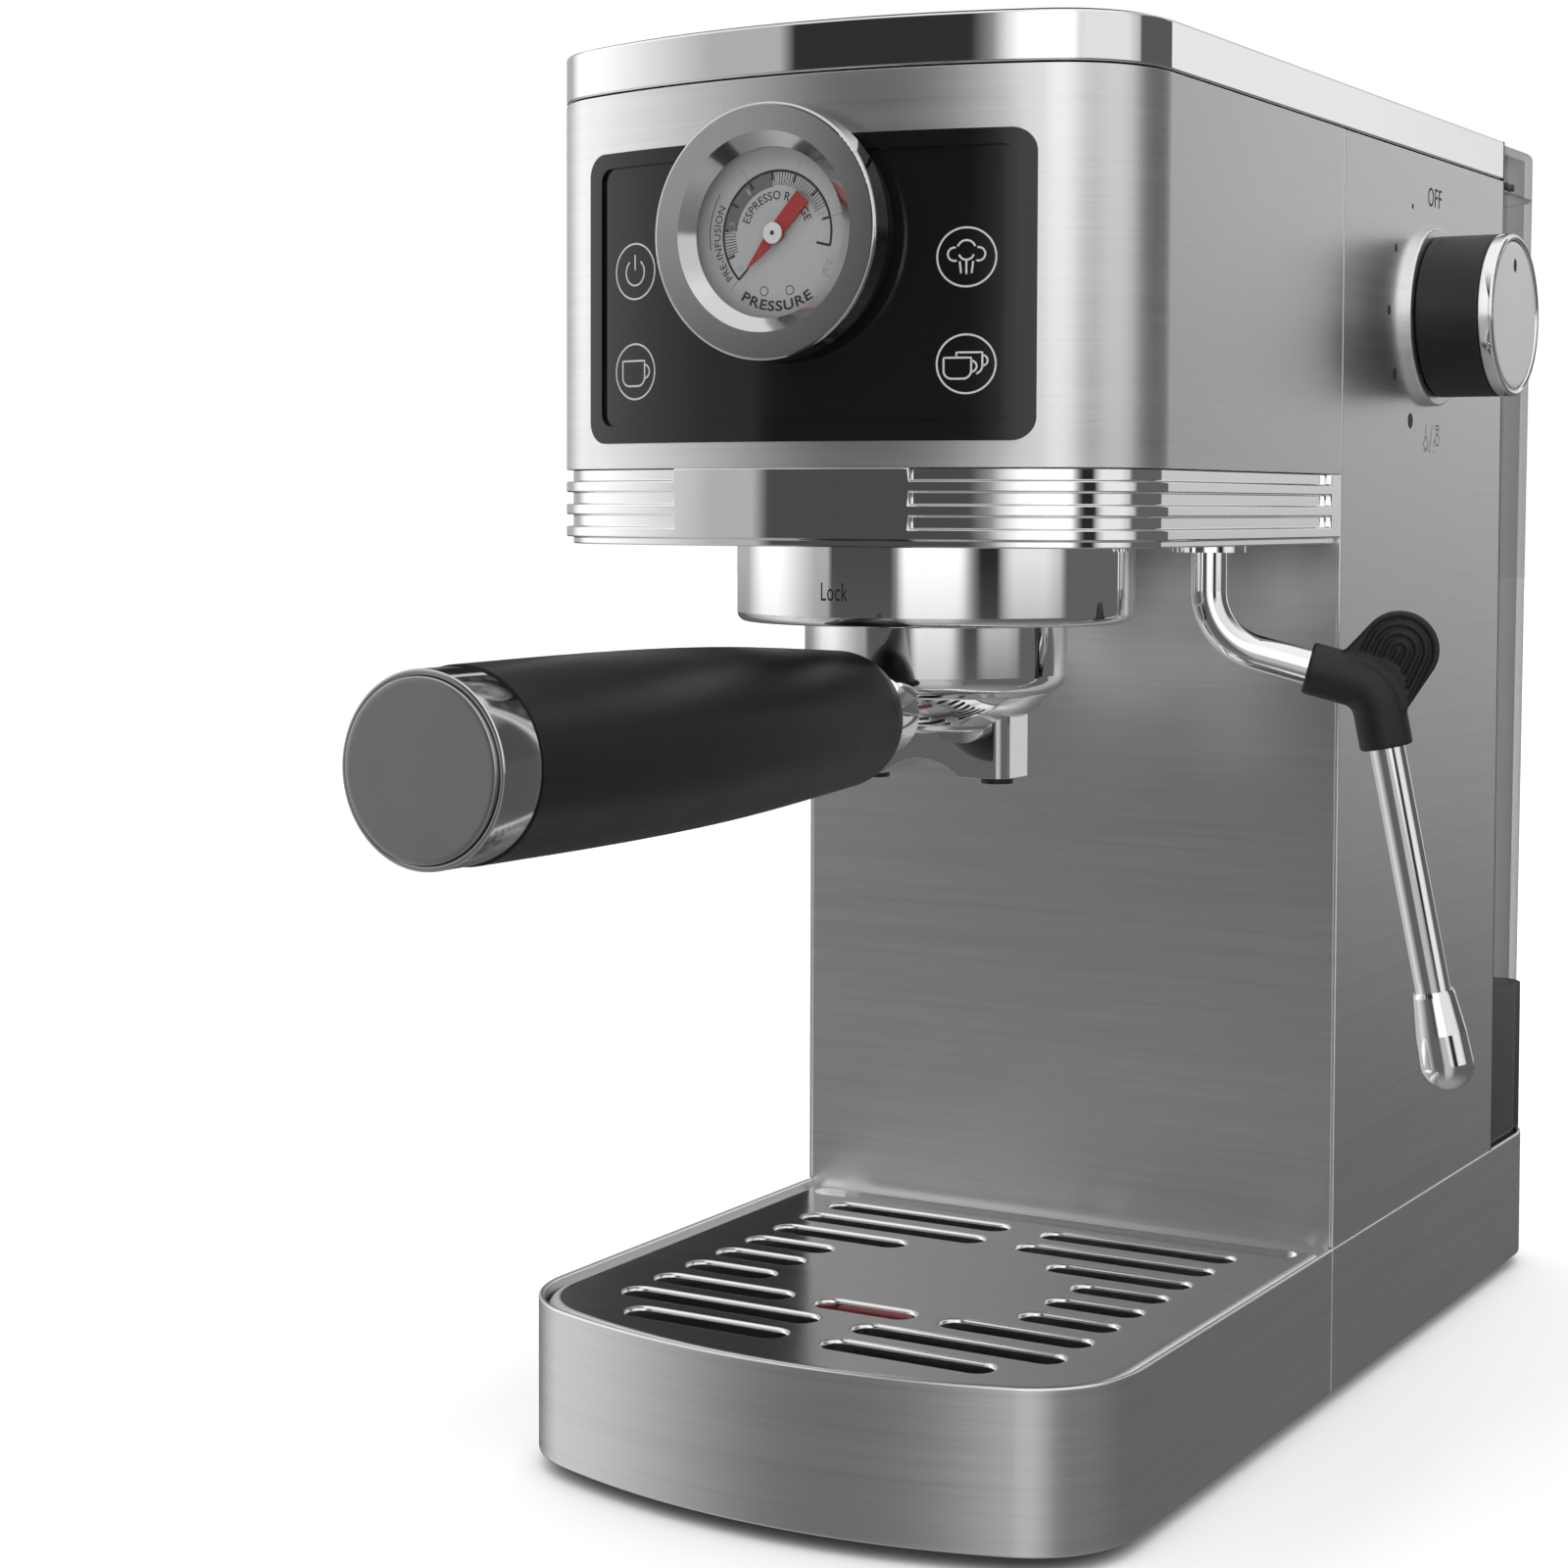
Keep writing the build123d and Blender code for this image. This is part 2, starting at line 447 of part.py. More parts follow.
# ---- filter holder ----
def make_holder():
    wall = 3.4
    bowl_profile = make_face(
        Polyline((0, 168.4), (6, 168.4), (23, 176.2), (28.6, 179.6))
        + ThreePointArc((28.6, 179.6), (30.4, 181.2), (HOLDER_R, 183.4))
        + Polyline((HOLDER_R, 183.4), (HOLDER_R, HOLDER_TOP), (0, HOLDER_TOP), (0, 168.4)))
    body = Pos(0, GROUP_Y, 0) * revolve(Plane.XZ * bowl_profile, Axis.Z)
    body -= rod(0, GROUP_Y, 184.6, HOLDER_TOP + 1, HOLDER_R - wall)
    body -= rod(0, GROUP_Y, HOLDER_TOP - 0.8, HOLDER_TOP + 1, 30.0)
    body -= Pos(0, GROUP_Y, 179.6) * Cone(3, 27.4, 10)
    for angle in LUG_ANGLES:
        lug = sector(36.7, angle, LUG_WIDTH, 201.4, 206.2) - rod(0, GROUP_Y, 200, 207, HOLDER_R - 1)
        body += lug
    boss_front = -118.0
    boss = rod_y(0, boss_front, GROUP_Y - 22, HANDLE_Z, 9.5)
    body += boss - rod(0, GROUP_Y, 160, 215, HOLDER_R - wall)

    spout = block(-22, 22, GROUP_Y - 7.5, GROUP_Y + 7.5, 159.4, 176)
    spout = fillet(spout.edges().filter_by(Axis.Z), 3.2)
    spout -= Pos(0, GROUP_Y, 148.6) * Rot(90, 0, 0) * Cylinder(14.8, 30)
    ledge = rod(0, GROUP_Y, 170.2, 173.0, 18.6)
    spout += fillet(ledge.faces().sort_by(Axis.Z)[0].edges(), 1.2)
    cone_space = Pos(0, GROUP_Y, 0) * revolve(Plane.XZ * bowl_profile, Axis.Z)
    spout -= cone_space
    for x in (-16.5, 16.5):
        spout -= rod(x, GROUP_Y, 150, 190, 1.9)
        body -= rod(x, GROUP_Y, 168, 186, 1.9)
    body += rod_y(0, HANDLE_END + 12.6, boss_front + 2, HANDLE_Z, 4.0)
    save(body, "holder_body")
    save(spout, "twin_spout")
    tips = [tube(x, GROUP_Y, 157.8, 159.4, 3.75, 1.9) for x in (-16.5, 16.5)]
    save(Compound(tips), "spout_tips")

    basket = rod(0, GROUP_Y, 186.6, HOLDER_TOP, 26.0) + rod(0, GROUP_Y, 206.3, HOLDER_TOP, 29.7)
    basket -= rod(0, GROUP_Y, 187.2, HOLDER_TOP + 1, 25.4)
    for count, radius in ((6, 6), (12, 12), (18, 18)):
        for i in range(count):
            turn = 360 / count * i
            x, y = radius * cos(radians(turn)), radius * sin(radians(turn))
            basket -= rod(x, GROUP_Y + y, 186, 188, 0.6)
    save(basket, "filter_basket")

    grip_end, ring_start = boss_front - 0.2, HANDLE_END + 12.5
    bulge_points = [(15.4, -129), (17.9, -172), (18.9, -222), (18.6, ring_start)]
    bulge = Spline(*bulge_points, tangents=[(0.06, -1), (-0.01, -1)])
    nose = ThreePointArc((7.5, grip_end), (13.02, -122.45), (15.4, -129))
    axis_line = Polyline((18.6, ring_start), (0, ring_start), (0, grip_end), (7.5, grip_end))
    grip = revolve(make_face(nose + bulge + axis_line), Axis.Y)
    grip = Pos(0, 0, HANDLE_Z) * grip
    grip -= rod_y(0, ring_start - 1, grip_end + 1, HANDLE_Z, 4.1)
    save(grip, "handle_grip")
    ring = rod_y(0, HANDLE_END + 0.8, ring_start, HANDLE_Z, 18.3)
    ring = fillet(ring.faces().sort_by(Axis.Y)[0].edges(), 0.8)
    ring -= rod_y(0, HANDLE_END, HANDLE_END + 2.4, HANDLE_Z, 17.1)
    ring -= rod_y(0, HANDLE_END + 2, ring_start + 1, HANDLE_Z, 6)
    disc = rod_y(0, HANDLE_END, HANDLE_END + 2.4, HANDLE_Z, 17.0)
    disc = fillet(disc.faces().sort_by(Axis.Y)[0].edges(), 0.6)
    save(Compound([ring, disc]), "handle_end_cap")


# ---- water tank ----
def tank_outline(inset):
    half = WIDTH / 2 - inset
    back = BODY_BACK - inset
    front = TANK_FRONT + (inset if inset > 2.05 else 0)
    face = Pos(0, (front + back) / 2) * Rectangle(2 * half, back - front)
    face = fillet(face.vertices().group_by(Axis.Y)[-1], BACK_RADIUS - inset)
    return fillet(face.vertices().group_by(Axis.Y)[0], 3.0)


def tank_taper(inset_low, inset_high, low, high):
    return loft([Pos(0, 0, low) * tank_outline(inset_low), Pos(0, 0, high) * tank_outline(inset_high)])


def make_tank():
    shell = tank_taper(2.0, 0.3, TANK_BOTTOM, TANK_TOP)
    shell -= tank_taper(2.0 + TANK_WALL, 0.3 + TANK_WALL, TANK_BOTTOM + 2.6, TANK_TOP + 1)
    shell -= rod(0, VALVE_Y, 30, 40, 6.2)
    save(shell, "tank_shell")
    seat = tube(0, VALVE_Y, 28.6, 37.6, 6.1, 3.6) + tube(0, VALVE_Y, 28.6, TANK_BOTTOM, 8.8, 3.6)
    save(seat, "tank_valve_seat")
    poppet = rod(0, VALVE_Y, 37.9, 40.4, 5.4) + rod(0, VALVE_Y, 28.6, 38, 2.6)
    save(poppet, "tank_valve")

    axis_y, axis_z = LID_AXIS
    top = RIM_TOP - 0.2
    lid = slab(tank_outline(0.3), TANK_TOP + 0.2, top)
    lid = fillet(lid.faces().sort_by(Axis.Z)[-1].edges(), 2.0)
    lid -= slab(tank_outline(0.3 + TANK_WALL), TANK_TOP, top - 2.2)
    lid -= block(-80, 80, TANK_FRONT - 1, axis_y + 1, TANK_TOP, TANK_TOP + 1.5)
    arms = []
    for side in (-1, 1):
        x0, x1 = sorted((side * 65.4, side * 69.0))
        pin0, pin1 = sorted((side * 64.6, side * 72.6))
        lid -= block(x0 - 0.3, x1 + 0.3, TANK_FRONT - 1, axis_y + 2.2, TANK_TOP - 1, top - 2.2)
        lid += rod_x(pin0, pin1, axis_y, axis_z, 1.0)
        arm = block(x0, x1, axis_y - 1.4, axis_y + 1.4, TANK_TOP - 12, axis_z)
        arm += rod_x(x0, x1, axis_y, axis_z, 1.5)
        arms.append(arm - rod_x(x0 - 1, x1 + 1, axis_y, axis_z, 1.05))
    save(lid, "tank_lid")
    save(Compound(arms), "lid_hinge_arms")


# ---- water circuit ----
def make_inside():
    bottom = 56.0
    body = rod(0, PUMP_Y, bottom, 66, 4) + rod(0, PUMP_Y, 66, 92, 12)
    body += block(-17, 17, PUMP_Y - 17, PUMP_Y + 17, 92, 140)
    body += rod(0, PUMP_Y, 140, 165, 11) + rod(0, PUMP_Y, 165, 176, 3.5)
    body -= rod(0, PUMP_Y, 94, 148, 4.3)
    save(body, "pump_body")
    save(rod(0, PUMP_Y, 100, 140, 4.0), "pump_piston")
    mounts = [tube(0, PUMP_Y, 74, 84, 17, 12), tube(0, PUMP_Y, 146, 156, 17, 11)]
    save(Compound(mounts), "pump_mounts")

    suction = [(0, 121, HOSE_Z), (0, PUMP_Y, HOSE_Z), (0, PUMP_Y, bottom)]
    feed = [(0, PUMP_Y, 176), (0, PUMP_Y, 248), (0, GROUP_Y + 38.05, 248)]
    capillary = [(0, GAUGE_FRONT + 27, GAUGE_Z), (0, -108, GAUGE_Z), (0, -108, 262)]
    hoses = [pipe(suction, 3.6, 14), pipe(feed, 3.0, 20), pipe(capillary, 1.5, 8)]
    save(Compound(hoses), "water_hoses")

    board = block(-70, -68.4, 12, 104, 60, 200)
    for z in (75, 110, 150):
        board += block(-68.4, -56, 24, 52, z, z + 18)
    for z in (80, 130, 170):
        board += Pos(-61, 82, z) * Rot(0, 90, 0) * Cylinder(7, 15)
    save(board, "power_board")


make_base()
make_tray()
make_column()
make_head()
make_gauge()
make_knob()
make_wand()
make_group()
make_holder()
make_tank()
make_inside()
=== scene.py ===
import json
import math
import bpy
from mathutils import Matrix, Vector


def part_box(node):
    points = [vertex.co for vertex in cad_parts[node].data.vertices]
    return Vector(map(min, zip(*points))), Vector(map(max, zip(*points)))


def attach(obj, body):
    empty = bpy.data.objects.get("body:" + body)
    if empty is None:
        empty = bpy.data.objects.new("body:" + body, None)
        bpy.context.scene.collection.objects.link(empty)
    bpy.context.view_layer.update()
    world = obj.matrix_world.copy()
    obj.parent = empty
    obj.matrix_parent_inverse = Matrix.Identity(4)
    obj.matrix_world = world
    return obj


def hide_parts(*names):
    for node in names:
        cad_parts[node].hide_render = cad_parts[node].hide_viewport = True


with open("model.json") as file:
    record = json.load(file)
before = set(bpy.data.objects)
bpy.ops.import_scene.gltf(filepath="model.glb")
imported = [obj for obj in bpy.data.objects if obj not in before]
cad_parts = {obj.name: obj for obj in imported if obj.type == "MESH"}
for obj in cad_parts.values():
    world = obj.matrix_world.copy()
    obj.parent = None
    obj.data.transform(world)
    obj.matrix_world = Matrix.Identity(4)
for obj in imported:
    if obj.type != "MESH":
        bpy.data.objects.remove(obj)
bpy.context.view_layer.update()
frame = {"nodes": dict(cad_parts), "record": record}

scene = bpy.context.scene
scene.view_settings.view_transform = "Standard"
print("frame loaded:", len(frame["nodes"]), "nodes")


# small helpers for modelling
def deselectAll():
    if bpy.context.object and bpy.context.object.mode != "OBJECT":
        bpy.ops.object.mode_set(mode="OBJECT")
    bpy.ops.object.select_all(action="DESELECT")


def pick(piece):
    deselectAll()
    piece.select_set(True)
    bpy.context.view_layer.objects.active = piece


def newest(name):
    piece = bpy.context.object
    piece.name = name
    piece.data.name = name
    return piece


def settle(piece):
    # place and size go into the mesh, as on a CAD node
    pick(piece)
    bpy.ops.object.transform_apply(location=True, rotation=True, scale=True)


def editFaces(piece, keep):
    # leaves edit mode open with only the faces that keep() likes selected
    pick(piece)
    bpy.ops.object.mode_set(mode="EDIT")
    bpy.ops.mesh.select_mode(type="FACE")
    bpy.ops.mesh.select_all(action="DESELECT")
    bpy.ops.object.mode_set(mode="OBJECT")
    for face in piece.data.polygons:
        face.select = bool(keep(face))
    bpy.ops.object.mode_set(mode="EDIT")


def outward(piece):
    pick(piece)
    bpy.ops.object.mode_set(mode="EDIT")
    bpy.ops.mesh.select_all(action="SELECT")
    bpy.ops.mesh.remove_doubles(threshold=0.000002)
    bpy.ops.mesh.normals_make_consistent(inside=False)
    bpy.ops.object.mode_set(mode="OBJECT")


def smooth(piece, degrees=35):
    pick(piece)
    bpy.ops.object.shade_smooth_by_angle(angle=math.radians(degrees))


def applyAll(piece):
    pick(piece)
    for modifier in list(piece.modifiers):
        bpy.ops.object.modifier_apply(modifier=modifier.name)


def dress(piece, material, body=None, replaces=()):
    piece.data.materials.clear()
    piece.data.materials.append(material)
    if body:
        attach(piece, body)
    if replaces:
        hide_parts(*replaces)


def roundEdges(piece, width, segments, degrees):
    edge = piece.modifiers.new("edge", "BEVEL")
    edge.width, edge.segments, edge.limit_method = width, segments, "ANGLE"
    edge.angle_limit = math.radians(degrees)


def softened(node, name, width):
    # a merged copy of a CAD node, with its sharp edges rounded
    deselectAll()
    piece = bpy.data.objects.new(name, frame["nodes"][node].data.copy())
    piece.data.name = name
    scene.collection.objects.link(piece)
    pick(piece)
    bpy.ops.mesh.customdata_custom_splitnormals_clear()
    bpy.ops.object.mode_set(mode="EDIT")
    bpy.ops.mesh.select_all(action="SELECT")
    bpy.ops.mesh.remove_doubles(threshold=0.000005)
    bpy.ops.mesh.dissolve_limited(angle_limit=math.radians(0.4))
    bpy.ops.object.mode_set(mode="OBJECT")
    if width:
        roundEdges(piece, width, 3, 35)
    smooth(piece, 40)
    even = piece.modifiers.new("even", "WEIGHTED_NORMAL")
    even.keep_sharp = True
    applyAll(piece)
    return piece


# shader wiring
class Wire:
    def __init__(self, graph, socket):
        self.graph = graph
        self.socket = socket

    def do(self, operation, *values):
        inputs = {i: value for i, value in enumerate(values)}
        return self.graph.node("Math", {"operation": operation}, inputs)

    def __add__(self, other):
        return self.do("ADD", self, other)

    def __sub__(self, other):
        return self.do("SUBTRACT", self, other)

    def __rsub__(self, other):
        return self.do("SUBTRACT", other, self)

    def __mul__(self, other):
        return self.do("MULTIPLY", self, other)

    def __truediv__(self, other):
        return self.do("DIVIDE", self, other)

    def __gt__(self, other):
        return self.do("GREATER_THAN", self, other)

    def __lt__(self, other):
        return self.do("LESS_THAN", self, other)

    def clamp(self):
        return self.graph.node("Clamp", {}, {0: self})

    def rise(self, low, high):
        # 0 below low, 1 above high
        return ((self - low) / (high - low)).clamp()


class Graph:
    def __init__(self, owner):
        owner.use_nodes = True
        self.tree = owner.node_tree

    def node(self, kind, settings, inputs, output=0):
        made = self.tree.nodes.new("ShaderNode" + kind)
        for key, value in settings.items():
            setattr(made, key, value)
        for key, value in inputs.items():
            if isinstance(value, Wire):
                self.tree.links.new(value.socket, made.inputs[key])
            else:
                made.inputs[key].default_value = value
        return Wire(self, made.outputs[output])

    def place(self):
        return self.node("TexCoord", {}, {}, "Object")

    def axes(self, vector):
        split = self.node("SeparateXYZ", {}, {0: vector})
        outputs = split.socket.node.outputs
        return [Wire(self, outputs[i]) for i in range(3)]

    def stretched(self, scale, size=1.0, detail=3.0, roughness=0.55, centre=(0, 0, 0)):
        # noise drawn out along the axes whose scale is small
        moved = self.node("Mapping", {}, {"Vector": self.place(), "Scale": scale, "Location": centre})
        values = {"Vector": moved, "Scale": size, "Detail": detail, "Roughness": roughness}
        return self.node("TexNoise", {}, values, "Fac")

    def blend(self, factor, first, second):
        settings = {"data_type": "RGBA"}
        return self.node("Mix", settings, {0: factor, 6: first, 7: second}, 2)

    def bump(self, height, strength, distance):
        return self.node("Bump", {}, {"Height": height, "Strength": strength, "Distance": distance})


def grey(level):
    return (level, level, level, 1)


class Finish(Graph):
    def __init__(self, name, **constants):
        self.material = bpy.data.materials.new(name)
        super().__init__(self.material)
        self.shader = self.tree.nodes["Principled BSDF"]
        self.set(**constants)

    def set(self, **values):
        for key, value in values.items():
            socket = self.shader.inputs[key.replace("_", " ")]
            if isinstance(value, Wire):
                self.tree.links.new(value.socket, socket)
            else:
                socket.default_value = value


# camera
cameraView = {
    "place": (0.3220, -0.6947, 0.2224),
    "turn": 29.925,
    "lookDown": 2.466,
    "roll": 0.196,
    "lens": 67.07,
    "shift": (-0.0252, -0.0966),
}


def makeCamera(view):
    deselectAll()
    bpy.ops.object.camera_add(location=view["place"])
    camera = bpy.context.object
    turn = Matrix.Rotation(math.radians(view["turn"]), 4, "Z")
    tilt = Matrix.Rotation(math.radians(90 - view["lookDown"]), 4, "X")
    roll = Matrix.Rotation(math.radians(view["roll"]), 4, "Z")
    camera.matrix_world = Matrix.Translation(view["place"]) @ turn @ tilt @ roll
    camera.data.lens = view["lens"]
    camera.data.shift_x, camera.data.shift_y = view["shift"]
    camera.data.clip_start = 0.02
    scene.camera = camera


makeCamera(cameraView)
print("camera ready")


# studio
# softboxes and black flags stand round the machine in three tiers. Each has its left and right
# edge in degrees (0 is in front of the machine, 90 on its right), its brightness, and how soft
# its two edges are. The rear flag stands in the two upper tiers. The pairs named after two parts
# are the heights, in degrees, between which the first part gives way to the second
studio = {
    "high": {
        "room": 0.45,
        "leftBox": (-100, -60, 1.2, 20, 30),
        "frontFlag": (-30, 5, 0.03, 3, 6),
        "frontBox": (8, 45, 1.2, 5, 10),
        "sideBox": (45, 100, 0.8, 10, 15),
        "rightFlag": (107, 155, 0.1, 3, 2),
        "rearBox": (155, 170, 0.85, 2, 20),
    },
    "level": {
        "room": 0.45,
        "leftBox": (-100, -60, 1.2, 20, 30),
        "frontFlag": (-35, 5, 0.07, 3, 6),
        "frontBox": (8, 45, 1.15, 5, 10),
        "slotFlag": (48, 66, 0.02, 10, 8),
        "sideBox": (68, 100, 0.85, 10, 15),
        "rightFlag": (105, 155, 0.12, 5, 2),
        "rearBox": (155, 170, 0.65, 2, 20),
    },
    "low": {
        "room": 0.12,
        "leftBox": (-100, -50, 0.7, 40, 40),
        "frontBox": (9, 45, 0.5, 8, 20),
    },
    "rearFlag": (-165, -142, 0.02, 5, 6),
    "rearEdge": 140,
    "groundToLow": (-70, -30),
    "lowToLevel": (-4, -1),
    "lowToLevelRear": (-11, 2),
    "levelToHigh": (2, 6),
    "highToCeiling": (28, 60),
    "ceiling": 0.95,
    "ground": 0.30,
    "backdrop": 1.0,
    "floor": 0.93,
    "overheadPower": 2.1,
    "overheadSpread": 130,
}


def makeStudio(values):
    world = bpy.data.worlds.new("studio")
    scene.world = world
    sky = Graph(world)
    direction = sky.node("TexCoord", {}, {}, "Generated")
    x, y, z = sky.axes(direction)
    turn = sky.node("Math", {"operation": "ARCTAN2"}, {0: x, 1: y * -1}) * (180 / math.pi)
    height = sky.node("Math", {"operation": "ARCSINE"}, {0: z}) * (180 / math.pi)

    def tier(lamps):
        wall = grey(lamps["room"])
        for name, lamp in lamps.items():
            if name != "room":
                left, right, level, softLeft, softRight = lamp
                inside = turn.rise(left - softLeft / 2, left + softLeft / 2)
                outside = turn.rise(right - softRight / 2, right + softRight / 2)
                wall = sky.blend(inside * (1 - outside), wall, grey(level))
        return wall

    rearFlag = {"rearFlag": values["rearFlag"]}
    high = tier({**values["high"], **rearFlag})
    level = tier({**values["level"], **rearFlag})
    low = tier(values["low"])
    rightRear = turn > values["rearEdge"]
    rearLift = rightRear * height.rise(*values["lowToLevelRear"])
    lift = rearLift + (1 - rightRear) * height.rise(*values["lowToLevel"])
    walls = sky.blend(lift, low, level)
    walls = sky.blend(height.rise(*values["levelToHigh"]), walls, high)
    walls = sky.blend(height.rise(*values["highToCeiling"]), walls, grey(values["ceiling"]))
    walls = sky.blend(height.rise(*values["groundToLow"]), grey(values["ground"]), walls)
    seen = sky.node("LightPath", {}, {}, "Is Camera Ray")
    shown = sky.blend(seen, walls, grey(values["backdrop"]))
    background = sky.tree.nodes["Background"]
    sky.tree.links.new(shown.socket, background.inputs["Color"])

    deselectAll()
    bpy.ops.mesh.primitive_circle_add(vertices=96, radius=9, fill_type="NGON")
    floor = newest("studioFloor")
    paint = Finish("floorPaint", Roughness=0.7)
    cloud = paint.stretched((1, 1, 1), 0.6)
    tone = values["floor"]
    paint.set(Base_Color=paint.blend(cloud, grey(tone - 0.01), grey(tone + 0.01)))
    dress(floor, paint.material)
    floor.visible_glossy = False

    bpy.ops.object.light_add(type="SUN", location=(0.2, -0.3, 2.0))
    overhead = newest("overheadSoftbox")
    overhead.data.angle = math.radians(values["overheadSpread"])
    overhead.data.energy = values["overheadPower"]
    overhead.visible_glossy = False


makeStudio(studio)
print("studio ready")


# finishes
finishes = {}


def brushedSteel(name, tone, fine, broad, rough=0.27):
    # fine and broad are how tightly the brush lines are packed along x, y and z
    look = Finish(name, Metallic=1.0)
    lines = look.stretched(fine, 1.0, 4.0, 0.6)
    sweeps = look.stretched(broad, 1.0, 2.0, 0.5, (3, 1, 7))
    patches = look.stretched((9, 9, 9), 1.0, 2.0)
    mark = lines.rise(0.60, 0.78) * sweeps.rise(0.5, 0.7)
    shade = lines * 0.5 + sweeps * 0.35 + patches * 0.15
    light = look.blend(shade.rise(0.3, 0.7), grey(tone - 0.08), grey(min(1, tone + 0.05)))
    look.set(Base_Color=look.blend(mark * 0.6, light, grey(tone - 0.30)),
             Roughness=shade * 0.12 + (rough - 0.06),
             Normal=look.bump(lines * 0.7 + sweeps * 0.3, 0.5, 0.00003))
    finishes[name] = look.material


def polishedMetal(name, tone, rough=0.035, tint=(1, 1, 1)):
    look = Finish(name, Metallic=1.0)
    haze = look.stretched((35, 35, 35), 1.0, 4.0)
    wipes = look.stretched((60, 60, 900), 1.0, 3.0, 0.6, (2, 5, 1))
    dark = tuple(c * (tone - 0.03) for c in tint) + (1,)
    bright = tuple(c * (tone + 0.02) for c in tint) + (1,)
    look.set(Base_Color=look.blend(haze, dark, bright),
             Roughness=haze.rise(0.35, 0.75) * 0.03 + wipes.rise(0.6, 0.8) * 0.02 + rough,
             Normal=look.bump(wipes, 0.04, 0.00001))
    finishes[name] = look.material


def moulded(name, colour, rough, grain=2600, strength=0.25, depth=0.00002):
    # plastic or rubber with a fine spark-eroded grain and faint handling marks
    look = Finish(name)
    speck = look.stretched((grain, grain, grain), 1.0, 2.0)
    haze = look.stretched((22, 22, 22), 1.0, 4.0)
    low = tuple(c * 0.85 for c in colour) + (1,)
    high = tuple(min(1, c * 1.18) for c in colour) + (1,)
    look.set(Base_Color=look.blend(speck * 0.4 + haze * 0.6, low, high),
             Roughness=haze.rise(0.3, 0.7) * 0.08 + speck * 0.05 + (rough - 0.06),
             Normal=look.bump(speck, strength, depth))
    finishes[name] = look.material


brushedSteel("brushed_steel", 0.92, (16, 16, 1500), (5, 5, 420), 0.33)
brushedSteel("grate_steel", 0.95, (26, 1900, 600), (8, 420, 200), 0.20)
polishedMetal("polished_chrome", 0.93)
polishedMetal("satin_aluminium", 0.66, 0.26)
polishedMetal("cast_aluminium", 0.60, 0.42)
polishedMetal("bezel_metal", 0.66, 0.09)
polishedMetal("valve_brass", 0.80, 0.22, (1, 0.80, 0.42))
polishedMetal("zinc_screw", 0.68, 0.28, (1, 0.98, 0.92))
moulded("black_plastic", (0.022, 0.022, 0.023), 0.48)
moulded("panel_black", (0.006, 0.006, 0.0065), 0.09, strength=0.02, depth=0.000005)
moulded("soft_black", (0.0065, 0.0065, 0.0068), 0.40, 3200, 0.2)
moulded("grip_rubber", (0.0075, 0.0075, 0.0078), 0.50, 2400, 0.35)
moulded("foot_rubber", (0.03, 0.03, 0.03), 0.7, 1500, 0.5)
moulded("needle_red", (0.26, 0.014, 0.014), 0.45)
moulded("float_red", (0.16, 0.010, 0.010), 0.45)
moulded("pump_plastic", (0.70, 0.66, 0.55), 0.45)
moulded("hose_silicone", (0.72, 0.72, 0.70), 0.35)
moulded("circuit_green", (0.03, 0.20, 0.08), 0.35)
moulded("ink_dark", (0.018, 0.018, 0.019), 0.5)
moulded("ink_mid", (0.22, 0.22, 0.22), 0.5)
moulded("ink_pale", (0.46, 0.46, 0.46), 0.45)


def smokedPlastic(name, colour, alpha, rough, rim=0.42):
    look = Finish(name, Roughness=rough, IOR=1.45)
    haze = look.stretched((14, 14, 5), 1.0, 3.0)
    edge = look.node("LayerWeight", {}, {"Blend": 0.25}, "Facing")
    look.set(Base_Color=look.blend(haze, grey(colour), grey(colour * 1.3)),
             Roughness=haze * 0.05 + rough,
             Alpha=(edge * rim + alpha).clamp())
    finishes[name] = look.material


smokedPlastic("smoked_clear", 0.06, 0.30, 0.05)
smokedPlastic("clear_glass", 0.35, 0.01, 0.02, 0.05)


dialShade = {"inner": 0.0100, "outer": 0.0134, "start": 95.5, "end": 175}


def dialFace(values):
    # pale grey card with the shaded part of the scale
    look = Finish("dial_grey")
    low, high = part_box("gauge_dial")
    centreZ = (low.z + high.z) / 2
    x, y, z = look.axes(look.place())
    up = z - centreZ
    radius = look.node("Math", {"operation": "SQRT"}, {0: x * x + up * up})
    angle = look.node("Math", {"operation": "ARCTAN2"}, {0: up, 1: x}) * (180 / math.pi)
    ringBand = (radius > values["inner"]) * (radius < values["outer"])
    shaded = ringBand * (angle > values["start"]) * (angle < values["end"])
    speck = look.stretched((900, 900, 900), 1.0, 3.0)
    card = look.blend(speck, grey(0.30), grey(0.35))
    look.set(Base_Color=look.blend(shaded, card, grey(0.10)),
             Roughness=speck * 0.1 + 0.5,
             Normal=look.bump(speck, 0.08, 0.00002))
    finishes["dial_grey"] = look.material


dialFace(dialShade)

for entry in frame["record"]["subparts"]:
    node = frame["nodes"][entry["node"]]
    node.data.materials.clear()
    node.data.materials.append(finishes[entry["material_slot"]])
frame["nodes"]["gauge_bezel"].data.materials[0] = finishes["bezel_metal"]


# flat line work, drawn in millimetres and then laid on a surface
def arc(x, y, radius, start, end, steps=20):
    angles = [math.radians(start + (end - start) * i / steps) for i in range(steps + 1)]
    return [(x + radius * math.cos(a), y + radius * math.sin(a)) for a in angles]


def finer(path, step=0.8):
    # short steps follow a curved wall
    fine = [path[0]]
    for (x0, y0), (x1, y1) in zip(path, path[1:]):
        count = max(1, math.ceil(math.hypot(x1 - x0, y1 - y0) / step))
        fine += [(x0 + (x1 - x0) * i / count, y0 + (y1 - y0) * i / count) for i in range(1, count + 1)]
    return fine


